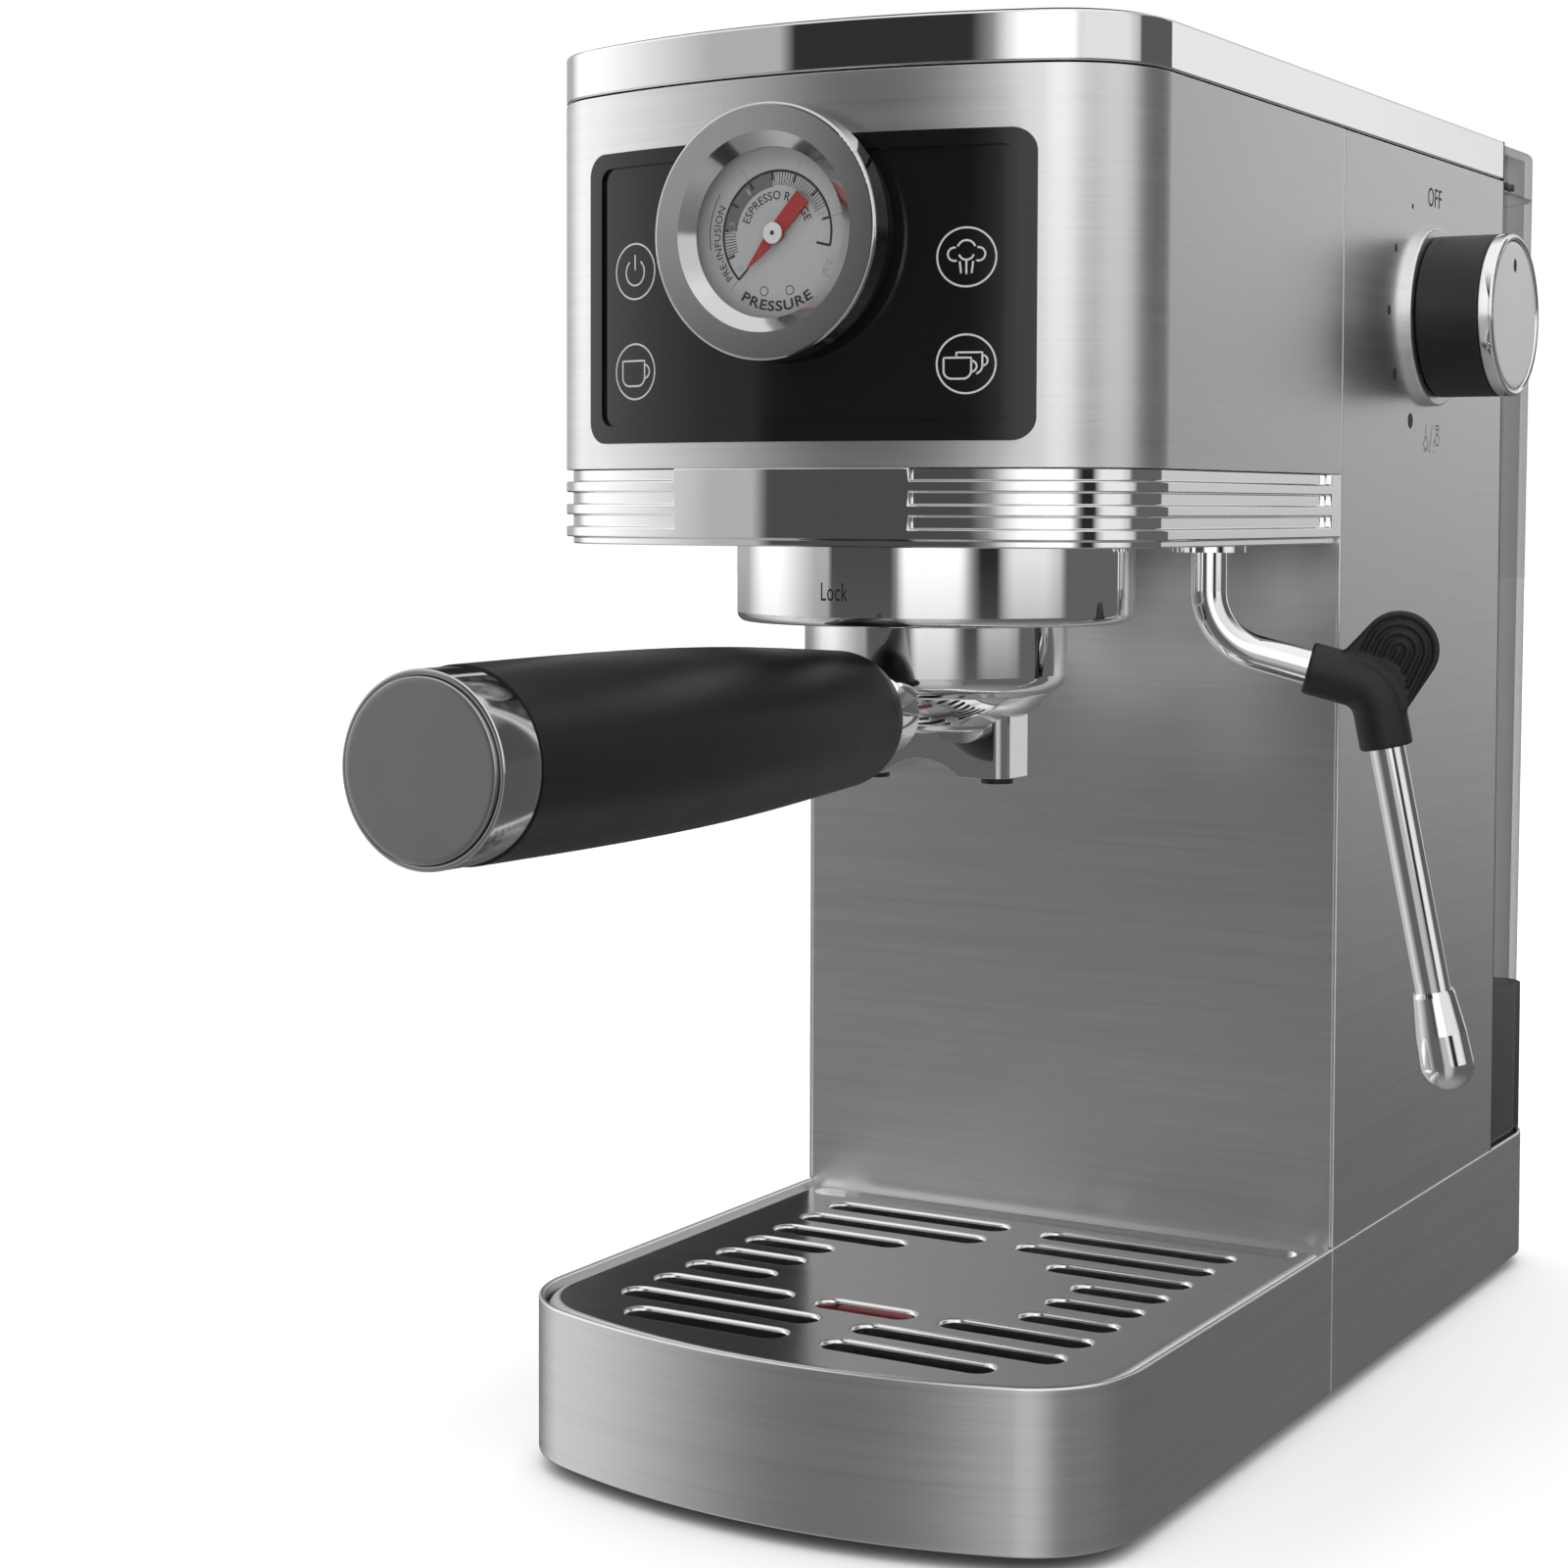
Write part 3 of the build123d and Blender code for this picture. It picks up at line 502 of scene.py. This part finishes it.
def drawLines(name, paths, width, raised=0.05):
    deselectAll()
    curve = bpy.data.curves.new(name, "CURVE")
    curve.dimensions = "3D"
    curve.bevel_depth = width / 2000
    curve.bevel_resolution = 1
    curve.use_fill_caps = True
    for path in map(finer, paths):
        line = curve.splines.new("POLY")
        line.points.add(len(path) - 1)
        for point, (x, y) in zip(line.points, path):
            point.co = (x / 1000, y / 1000, 0, 1)
    piece = bpy.data.objects.new(name, curve)
    scene.collection.objects.link(piece)
    pick(piece)
    bpy.ops.object.convert(target="MESH")
    piece = newest(name)
    for vertex in piece.data.vertices:
        vertex.co.z = vertex.co.z * raised / width + raised / 4000
    return piece


def writeText(name, words, width, height, middle=(0, 0), bold=0.0):
    deselectAll()
    bpy.ops.object.text_add()
    piece = newest(name)
    piece.data.body = words
    piece.data.size = 0.01
    piece.data.offset = bold
    piece.data.extrude = 0.00004
    piece.data.space_character = 1.08
    piece.data.resolution_u = 4
    bpy.ops.object.convert(target="MESH")
    piece = newest(name)
    xs = [v.co.x for v in piece.data.vertices]
    ys = [v.co.y for v in piece.data.vertices]
    spanX, spanY = max(xs) - min(xs), max(ys) - min(ys)
    for vertex in piece.data.vertices:
        vertex.co.x = ((vertex.co.x - min(xs)) / spanX - 0.5) * width / 1000 + middle[0] / 1000
        vertex.co.y = ((vertex.co.y - min(ys)) / spanY - 0.5) * height / 1000 + middle[1] / 1000
    return piece


def joined(name, parts):
    deselectAll()
    for part in parts:
        part.select_set(True)
    bpy.context.view_layer.objects.active = parts[0]
    bpy.ops.object.join()
    return newest(name)


def layOn(piece, place):
    for vertex in piece.data.vertices:
        vertex.co = place(*vertex.co)
    outward(piece)
    return piece


# softened covers: pressed steel and mouldings never have knife edges
covers = [
    ("drip_tray_band", "trayBand", "drip_tray", "brushed_steel", 0.00045),
    ("rear_base_wrap", "baseWrap", "machine", "brushed_steel", 0.00045),
    ("column_side_right", "columnSideRight", "machine", "brushed_steel", 0.0004),
    ("column_side_left", "columnSideLeft", "machine", "brushed_steel", 0.0004),
    ("head_front_cover", "headCover", "machine", "brushed_steel", 0.0003),
    ("control_panel_frame", "panelFrame", "machine", "panel_black", 0.0006),
    ("ribbed_trim", "ribbedTrim", "machine", "polished_chrome", 0.0003),
    ("top_rim", "topRim", "machine", "polished_chrome", 0.0005),
    ("top_frame", "topFrame", "machine", "black_plastic", 0.0005),
    ("twin_spout", "twinSpout", "filter_holder", "polished_chrome", 0.0005),
    ("knob_body", "knobBarrel", "steam_knob", "soft_black", 0.0005),
]
for node, name, body, slot, width in covers:
    piece = softened(node, name, width)
    dress(piece, finishes[slot], body, [node])
print("covers softened:", len(covers))


# touch keys
keys = {"ring": 6.15, "line": 0.44, "x": 41.5, "rows": (274.7, 252.4), "bowRadius": 0.1687}


def makeTouchKeys(values):
    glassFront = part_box("control_panel_glass")[0].y
    left, right = -values["x"], values["x"]
    top, low = values["rows"]

    def at(x, y, paths):
        return [[(x + u, y + v) for u, v in path] for path in paths]

    def mug(left, right, top, bottom, corner):
        low = arc(left + corner, bottom + corner, corner, 180, 270, 8)
        low += arc(right - corner, bottom + corner, corner, 270, 360, 8)
        return [(left, top), *low, (right, top), (left, top)]

    power = [arc(0, -0.2, 2.9, 126, 414, 40), [(0, 3.7), (0, 0.3)]]
    cup = [mug(-4.0, 3.0, 2.4, -3.2, 2.0), arc(3.0, 0.0, 1.5, 88, -88, 12)]
    steam = [arc(0, 1.6, 1.9, 18, 162, 14), arc(-2.5, 0.6, 1.4, 80, 290, 14),
             arc(2.5, 0.6, 1.4, 100, -110, 14), arc(0, 1.0, 1.6, 198, 342, 10),
             [(-1.4, -0.9), (-1.1, -3.4)], [(0, -0.8), (0, -3.6)], [(1.4, -0.9), (1.1, -3.4)]]
    frontCup = [mug(-4.7, 1.1, 1.3, -3.1, 1.7), arc(1.1, -0.5, 1.15, 88, -88, 10)]
    backCup = [[(-2.0, 1.6), (-2.0, 2.4), (3.4, 2.4), *arc(1.7, -0.4, 1.7, 0, -75, 8)],
               arc(3.4, 0.7, 1.1, 88, -88, 10)]
    paths = at(left, top, power) + at(left, low, cup) + at(right, top, steam)
    paths += at(right, low, frontCup + backCup)
    for x in (left, right):
        for y in (top, low):
            paths.append(arc(x, y, values["ring"], 0, 360, 64))
    bow = values["bowRadius"]

    def onPanel(x, y, rise):
        front = glassFront + bow - math.sqrt(bow * bow - x * x)
        return Vector((x, front - rise, y))

    marks = layOn(drawLines("touchKeys", paths, values["line"]), onPanel)
    dress(marks, finishes["ink_pale"], "machine")


makeTouchKeys(keys)


# gauge printing
scale = {
    "radius": 13.4,
    "start": 225,
    "end": -13,
    "ticks": (202, 175, 148.5, 121.8, 95.5, 69, 41.4, 13),
    "outerTicks": (225, 121.8, 69, 13, -37),
    "figures": [("0", 218, 1.1), ("0.5", 172, 2.8), ("1", 128, 0.7),
                ("1.5", 84, 2.8), ("2", 20, 1.2), ("2.5", -30, 2.8)],
}


def makeDialPrint(values):
    low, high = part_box("gauge_dial")
    front, centreZ = low.y, (low.z + high.z) / 2
    radius = values["radius"]

    def onDial(x, y, rise):
        return Vector((x, front - rise, centreZ + y))

    def spoke(angle, near, far):
        a = math.radians(angle)
        return [(near * math.cos(a), near * math.sin(a)), (far * math.cos(a), far * math.sin(a))]

    def bent(piece, around, middle, under=False):
        for vertex in piece.data.vertices:
            turn = vertex.co.x * 1000 / around
            angle = math.radians(middle) + (turn if under else -turn)
            reach = around / 1000 + (-vertex.co.y if under else vertex.co.y)
            vertex.co.x, vertex.co.y = reach * math.cos(angle), reach * math.sin(angle)
        return piece

    bold = [arc(0, 0, radius, values["start"], values["end"], 80)]
    bold += [spoke(angle, radius - 2, radius) for angle in values["ticks"]]
    bold += [spoke(angle, radius - 3.4, radius) for angle in (values["start"], values["end"])]
    hatch = [spoke(175 + 3 * i, 10.3, 13.2) for i in range(1, 9)]
    hatch += [spoke(25 + 3.1 * i, 10.3, 13.2) for i in range(23)]
    hatch += [arc(side * 3.2, -12.15, 0.95, 0, 360, 20) for side in (-1, 1)]
    hatch.append(arc(0, 0, 16.9, 148, 190, 20))
    dark = [
        drawLines("boldLines", bold, 0.55),
        drawLines("hatch", hatch, 0.20, 0.04),
        bent(writeText("word", "PRESSURE", 17.8, 2.3, bold=0.00025), 15.4, 270, True),
        bent(writeText("word", "ESPRESSO RANGE", 20.4, 1.9, bold=0.00008), 8.2, 90),
        bent(writeText("word", "PRE-INFUSION", 16.8, 1.65, bold=0.00005), 15.0, 187),
    ]
    printed = layOn(joined("dialPrint", dark), onDial)
    dress(printed, finishes["ink_dark"], "machine")

    outer = [spoke(angle, 13.9, 16.3) for angle in values["outerTicks"]]
    faint = [drawLines("outerTicks", outer, 0.2, 0.03)]
    for words, angle, width in values["figures"]:
        faint.append(bent(writeText("figure", words, width, 1.5), 11.6 if words != "2.5" else 14.4, angle))
    figures = layOn(joined("dialFigures", faint), onDial)
    dress(figures, finishes["ink_mid"], "machine")


makeDialPrint(scale)
print("keys and dial printed")


# marks on the side and on the collar
sideMarks = {
    "dots": [(39, 300.5, 0.6), (26.3, 288.8, 0.9), (21.5, 272.8, 1.1), (26.3, 256.8, 1.35), (39, 245.2, 1.7)],
    "word": ("OFF", 10.9, 5.0, (56.75, 304.2)),
    "symbol": (56.3, 240.8),
}


def makeSideMarks(values):
    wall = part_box("column_side_right")[1].x

    def onSide(x, y, rise):
        return Vector((wall + rise, x, y))

    x, y = values["symbol"]
    symbol = [
        [(x - 4.6, y + 3.7), (x - 4.6, y + 1.2)],
        [(x - 4.6, y + 0.9), (x - 6.4, y - 1.2), (x - 5.6, y - 3.4), (x - 4.6, y - 2.2)],
        [(x - 4.6, y + 0.9), (x - 2.8, y - 1.2), (x - 3.6, y - 3.4), (x - 4.6, y - 2.2)],
        [(x - 1.6, y - 3.7), (x + 0.6, y + 3.7)],
        [(x + 3.4, y + 3.6), (x + 6.2, y + 3.6), (x + 6.2, y + 2.6), (x + 3.4, y + 2.6),
         (x + 3.4, y + 3.6)],
        [(x + 4.8, y + 2.6), (x + 4.8, y + 1.2)],
        arc(x + 4.8, y - 0.2, 1.5, 0, 360, 16),
        [(x + 3.3, y - 0.2), (x + 2.2, y - 0.8), (x + 2.2, y - 2.0)],
        [(x + 2.2, y - 2.8), (x + 2.2, y - 3.7)],
    ]
    parts = [drawLines("symbol", symbol, 0.32, 0.03), writeText("word", *values["word"])]
    for dotX, dotY, radius in values["dots"]:
        spiral = [arc(dotX, dotY, radius * (1 - step / 4), 0, 360, 18) for step in range(4)]
        parts.append(drawLines("dot", spiral, radius / 2.6, 0.03))
    marks = layOn(joined("sidePrint", parts), onSide)
    dress(marks, finishes["ink_dark"], "machine")


makeSideMarks(sideMarks)

collarMark = {"word": "Lock", "width": 6.9, "height": 4.1, "angle": -1.2, "z": 203.4}


def makeCollarMark(values):
    low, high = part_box("group_collar")
    centre, radius = (low + high) / 2, (high.x - low.x) / 2

    def onCollar(x, y, rise):
        angle = math.radians(values["angle"]) + x / radius
        reach = radius + rise
        return Vector((centre.x + reach * math.sin(angle), centre.y - reach * math.cos(angle), y))

    word = writeText("collarMark", values["word"], values["width"], values["height"],
                     (0, values["z"]))
    dress(layOn(word, onCollar), finishes["ink_dark"], "machine")


makeCollarMark(collarMark)
print("marks placed")


# turned end caps
turned = {"sides": 128, "sunk": 0.0018, "discInset": 0.0012, "sharp": 40}


def turnedBlank(name, centre, turn, radius, depth, rim):
    # a cylinder whose outer face is inset; edit mode stays open with that face selected
    deselectAll()
    bpy.ops.mesh.primitive_cylinder_add(vertices=turned["sides"], radius=radius, depth=depth,
                                        location=centre, rotation=turn)
    piece = newest(name)
    settle(piece)
    facing = Matrix.Rotation(turn[1], 3, "Y") @ Matrix.Rotation(turn[0], 3, "X") @ Vector((0, 0, 1))
    editFaces(piece, lambda face: face.normal.dot(facing) > 0.9)
    bpy.ops.mesh.inset(thickness=rim)
    return piece, facing


def finishTurned(piece, rounding, segments):
    bpy.ops.object.mode_set(mode="OBJECT")
    roundEdges(piece, rounding, segments, turned["sharp"])
    applyAll(piece)
    smooth(piece, turned["sharp"])


def turnedRing(name, centre, turn, radius, depth, rim, rounding):
    # a cup: the inset face is sunk, which leaves a raised rim
    piece, facing = turnedBlank(name, centre, turn, radius, depth, rim)
    bpy.ops.mesh.extrude_region_move(TRANSFORM_OT_translate={"value": facing * -turned["sunk"]})
    finishTurned(piece, rounding, 5)
    return piece


def turnedDisc(name, centre, turn, radius, depth, rounding):
    piece = turnedBlank(name, centre, turn, radius, depth, turned["discInset"])[0]
    finishTurned(piece, rounding, 3)
    return piece


polishedMetal("satin_face", 0.46, 0.33)
polishedMetal("bright_face", 0.98, 0.30)

knobCap = {
    "rim": 0.0017,
    "rounding": 0.0014,
    "gap": 0.0003,
    "faceBack": 0.0012,
    "faceDepth": 0.0016,
    "faceRounding": 0.0004,
    "pointerHeight": 0.0128,
    "pointerShape": (1.15, 1.5),
}


def makeKnobCap(values):
    low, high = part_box("knob_cap")
    middle, radius, depth = (low + high) / 2, (high.z - low.z) / 2, high.x - low.x
    turn = (0, math.radians(90), 0)
    ring = turnedRing("knobRim", middle, turn, radius, depth, values["rim"], values["rounding"])
    dress(ring, finishes["polished_chrome"], "steam_knob", ["knob_cap"])
    faceMiddle = (high.x - values["faceBack"], middle.y, middle.z)
    inner = radius - values["rim"] - values["gap"]
    face = turnedDisc("knobFace", faceMiddle, turn, inner, values["faceDepth"], values["faceRounding"])
    dress(face, finishes["bright_face"], "steam_knob")
    front = high.x - values["faceBack"] + values["faceDepth"] / 2
    wide, tall = values["pointerShape"]

    def onKnob(x, y, rise):
        up = middle.z + values["pointerHeight"] + y * tall
        return Vector((front + rise, middle.y + x * wide, up))

    pointer = [arc(0, 0, size, 0, 360, 24) for size in (0.25, 0.6, 0.95)]
    dot = drawLines("knobPointer", pointer, 0.5, 0.04)
    dress(layOn(dot, onKnob), finishes["ink_dark"], "steam_knob")


makeKnobCap(knobCap)

skirtDot = {"inset": 0.0012, "stretch": 1.3}


def makeSkirtDot(values):
    low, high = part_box("knob_skirt")
    capLow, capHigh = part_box("knob_cap")
    middle = (capLow + capHigh) / 2

    def onSkirt(x, y, rise):
        up = middle.z + y * values["stretch"]
        return Vector((high.x + rise, low.y + values["inset"] + x, up))

    rings = [arc(0, 0, size, 0, 360, 20) for size in (0.15, 0.4)]
    dot = drawLines("skirtDot", rings, 0.32, 0.04)
    dress(layOn(dot, onSkirt), finishes["ink_dark"], "machine")


makeSkirtDot(skirtDot)

handleCap = {
    "rim": 0.0012,
    "rounding": 0.0004,
    "ringShift": 0.0004,
    "gap": 0.0001,
    "discDepth": 0.0022,
    "discRounding": 0.0004,
}


def makeHandleCap(values):
    low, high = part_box("handle_end_cap")
    middle, radius, depth = (low + high) / 2, (high.z - low.z) / 2, high.y - low.y
    turn = (math.radians(90), 0, 0)
    shift = values["ringShift"]
    ringMiddle = (middle.x, middle.y + shift, middle.z)
    ring = turnedRing("handleRing", ringMiddle, turn, radius, depth - 2 * shift, values["rim"],
                      values["rounding"])
    dress(ring, finishes["bezel_metal"], "filter_holder", ["handle_end_cap"])
    discMiddle = (middle.x, low.y + values["discDepth"] / 2, middle.z)
    inner = radius - values["rim"] - values["gap"]
    disc = turnedDisc("handleDisc", discMiddle, turn, inner, values["discDepth"],
                      values["discRounding"])
    dress(disc, finishes["satin_face"], "filter_holder")


makeHandleCap(handleCap)
print("end caps turned")


# hub of the needle
hub = {"radius": 0.0023, "depth": 0.0004, "rounding": 0.0001, "dot": 0.42}


def makeNeedleHub(values):
    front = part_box("gauge_needle")[0].y
    low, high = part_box("gauge_dial")
    centre = Vector(((low.x + high.x) / 2, front - 0.0001, (low.z + high.z) / 2))
    disc = turnedDisc("needleHub", centre, (math.radians(90), 0, 0), values["radius"], values["depth"],
                      values["rounding"])
    dress(disc, finishes["ink_pale"], "gauge_needle")
    dot = drawLines("hubDot", [arc(0, 0, size, 0, 360, 16) for size in (0.1, 0.3)], values["dot"], 0.04)

    def onHub(x, y, rise):
        return Vector((centre.x + x, centre.y - values["depth"] / 2 - rise, centre.z + y))

    dress(layOn(dot, onHub), finishes["ink_dark"], "gauge_needle")


makeNeedleHub(hub)

# rounded dish between the holder and its spout
dish = {
    "low": 0.0190,
    "high": 0.0282,
    "bulge": 1.04,
    "bulgeShare": 0.45,
    "bottom": 0.1714,
    "top": 0.1796,
    "rounding": 0.0016,
}


def makeSpoutDish(values):
    low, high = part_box("group_collar")
    x, y = (low.x + high.x) / 2, (low.y + high.y) / 2
    depth = values["top"] - values["bottom"]
    deselectAll()
    bpy.ops.mesh.primitive_cone_add(vertices=128, radius1=values["low"], radius2=values["high"],
                                    depth=depth, location=(x, y, values["bottom"] + depth / 2))
    piece = newest("spoutDish")
    settle(piece)
    pick(piece)
    bpy.ops.object.mode_set(mode="EDIT")
    bpy.ops.mesh.select_all(action="SELECT")
    middle = values["bottom"] + depth * values["bulgeShare"]
    bulge = values["bulge"]
    bpy.ops.mesh.bisect(plane_co=(x, y, middle), plane_no=(0, 0, 1))
    bpy.ops.transform.resize(value=(bulge, bulge, 1), center_override=(x, y, 0))
    bpy.ops.object.mode_set(mode="OBJECT")
    roundEdges(piece, values["rounding"], 5, 8)
    applyAll(piece)
    smooth(piece, 45)
    dress(piece, finishes["polished_chrome"], "filter_holder")


makeSpoutDish(dish)
print("hub and dish ready")


# rubber grip of the wand
gripFin = {
    "voxel": 0.00038,
    "turn": 20,
    "bladeCentre": (0.0440, 0.1894),
    "legs": (-0.0068, -0.0146),
    "pitch": 0.0021,
    "depth": 0.0008,
    "reach": 0.0086,
    "fade": 0.0006,
    "blade": (0.0025, 0.0034),
    "sleeve": [(0.0231, 0.1851), (0.0388, 0.1809), (0.0416, 0.1666)],
    "sleeveRadius": 0.0068,
}


def lineDistance(point, start, end):
    run = end - start
    share = min(1, max(0, (point - start).dot(run) / run.length_squared))
    return (point - start - run * share).length


def makeWandGrip(values):
    piece = softened("wand_grip", "wandGrip", 0)
    body = piece.modifiers.new("body", "REMESH")
    body.mode, body.voxel_size = "VOXEL", values["voxel"]
    soft = piece.modifiers.new("soft", "SMOOTH")
    soft.factor, soft.iterations = 0.5, 16
    applyAll(piece)
    low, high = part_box("wand_socket")
    pivot = (low + high) / 2
    turn = math.radians(values["turn"])
    along = Vector((math.cos(turn), math.sin(turn), 0))
    across = Vector((math.sin(turn), -math.cos(turn), 0))
    start = Vector(values["bladeCentre"])
    legs = Vector(values["legs"])
    thin, thick = values["blade"]
    corners = [Vector(corner) for corner in values["sleeve"]]
    runs = list(zip(corners, corners[1:]))
    for vertex in piece.data.vertices:
        offset = vertex.co - Vector((pivot.x, pivot.y, 0))
        side = offset.dot(across)
        point = Vector((offset.dot(along), vertex.co.z))
        distance = lineDistance(point, start, start + legs)
        onSleeve = min(lineDistance(point, *run) for run in runs) < values["sleeveRadius"]
        if thin < abs(side) < thick and distance < values["reach"] and not onSleeve:
            fade = min(1, (values["reach"] - distance) / values["fade"])
            groove = 0.5 - 0.5 * math.cos(2 * math.pi * distance / values["pitch"])
            vertex.co -= across * math.copysign(groove * fade * values["depth"], side)
    smooth(piece, 60)
    dress(piece, finishes["grip_rubber"], "steam_wand", ["wand_grip"])


makeWandGrip(gripFin)
print("wand grip ready")


# dark seat inside the foot of the tank, and the clips of its lid
tankSeat = {
    "gap": 0.0030,
    "bottom": 0.0372,
    "height": 0.045,
    "forward": 0.0004,
    "corner": 0.007,
    "wall": 0.0012,
    "rounding": 0.0003,
}


def makeTankSeat(values):
    low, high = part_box("tank_shell")
    gap, height = values["gap"], values["height"]
    size = (high.x - low.x - 2 * gap, high.y - low.y - 2 * gap, height)
    middle = ((low.x + high.x) / 2, (low.y + high.y) / 2 - values["forward"],
              values["bottom"] + height / 2)
    deselectAll()
    bpy.ops.mesh.primitive_cube_add(size=1, location=middle, scale=size)
    piece = newest("tankSeat")
    settle(piece)
    editFaces(piece, lambda face: abs(face.normal.z) > 0.9)
    bpy.ops.mesh.delete(type="FACE")
    bpy.ops.object.mode_set(mode="OBJECT")
    corner = piece.modifiers.new("corner", "BEVEL")
    corner.width, corner.segments = values["corner"], 8
    wall = piece.modifiers.new("wall", "SOLIDIFY")
    wall.thickness, wall.offset = values["wall"], -1
    roundEdges(piece, values["rounding"], 2, 50)
    applyAll(piece)
    smooth(piece, 40)
    dress(piece, finishes["black_plastic"], "water_tank")


makeTankSeat(tankSeat)

lidClip = {
    "length": 0.0085,
    "height": 0.0016,
    "depth": 0.0014,
    "inset": 0.00055,
    "up": 0.0016,
    "back": 0.0008,
    "pin": 0.0011,
    "pinDepth": 0.0016,
    "pinInset": 0.0005,
    "pinShare": 0.3,
    "rounding": 0.0003,
}


def makeLidClips(values):
    low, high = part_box("tank_lid")
    length, share = values["length"], values["pinShare"]
    y, z = low.y + length / 2 + values["back"], low.z + values["up"]
    for name, wall, side in (("lidClipRight", high.x, 1), ("lidClipLeft", low.x, -1)):
        deselectAll()
        bpy.ops.mesh.primitive_cube_add(size=1, location=(wall - side * values["inset"], y, z),
                                        scale=(values["depth"], length, values["height"]))
        parts = [newest(name)]
        settle(parts[0])
        for along in (-share * length, share * length):
            place = (wall - side * values["pinInset"], y + along, z)
            deselectAll()
            bpy.ops.mesh.primitive_cylinder_add(vertices=24, radius=values["pin"],
                                                depth=values["pinDepth"], location=place,
                                                rotation=(0, math.radians(90), 0))
            parts.append(newest("clipPin"))
            settle(parts[-1])
        piece = joined(name, parts)
        roundEdges(piece, values["rounding"], 3, 30)
        applyAll(piece)
        outward(piece)
        smooth(piece, 40)
        dress(piece, finishes["black_plastic"], "tank_lid")


makeLidClips(lidClip)
print("tank seat and clips ready")

# water level marks on the tank
levels = {"max": 292, "min": 78, "ticks": 7, "offset": 0.045, "taper": 0.0017}


def makeLevelMarks(values):
    low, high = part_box("tank_shell")

    def onBack(x, y, rise):
        share = (y - low.z) / (high.z - low.z)
        back = high.y - values["taper"] * (1 - share)
        return Vector((-x - values["offset"], back + rise, y))

    top, bottom = values["max"], values["min"]
    lines = [[(-6, top), (6, top)], [(-6, bottom), (6, bottom)]]
    for i in range(1, values["ticks"]):
        level = bottom + (top - bottom) * i / values["ticks"]
        lines.append([(-3, level), (3, level)])
    parts = [drawLines("levelLines", lines, 0.5, 0.05)]
    parts.append(writeText("word", "MAX", 9, 3.2, (0, top + 4)))
    parts.append(writeText("word", "MIN", 8, 3.2, (0, bottom - 4)))
    marks = layOn(joined("tankLevels", parts), onBack)
    dress(marks, finishes["ink_pale"], "water_tank")


makeLevelMarks(levels)
print("tank marked")
